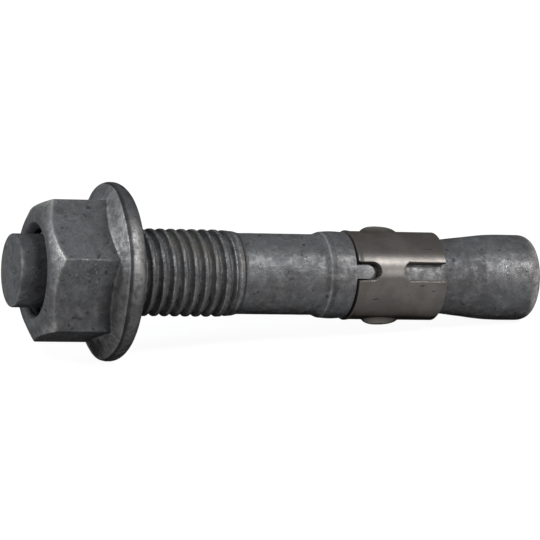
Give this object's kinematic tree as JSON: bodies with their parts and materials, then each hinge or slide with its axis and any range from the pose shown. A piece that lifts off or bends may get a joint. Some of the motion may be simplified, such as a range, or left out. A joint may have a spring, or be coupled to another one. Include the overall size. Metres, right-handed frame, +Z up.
{
  "type": "wedge anchor",
  "caption": "Galvanised wedge anchor: a threaded stud with a tapered end, a flange nut, and an expansion clip wrapped round its neck.",
  "frame": {"origin": "on the surface that the anchor lies on, below the middle of its length and width", "axes": "+X along the length from the dog point towards the expansion end, +Z up; the stud falls 5.9 degrees towards +X, because it lies on the nut's flange and on its expansion end"},
  "size_m": [0.1008, 0.0322, 0.0322],
  "materials": {
    "galvanised_steel": "dull hot-dip galvanised",
    "stainless_strip": "rolled stainless, satin"
  },
  "bodies": {
    "stud": {"stud": "galvanised_steel"},
    "nut": {"flange_nut": "galvanised_steel"},
    "clip": {"expansion_clip": "stainless_strip"}
  },
  "joints": [
    {"name": "nut_travel", "type": "slide", "parent": "stud", "child": "nut", "axis": [0.9946, 0, -0.1033], "range_m": [-0.014, 0.018]},
    {"name": "clip_slide", "type": "slide", "parent": "stud", "child": "clip", "axis": [0.9946, 0, -0.1033], "range_m": [-0.0002, 0.0005]}
  ]
}
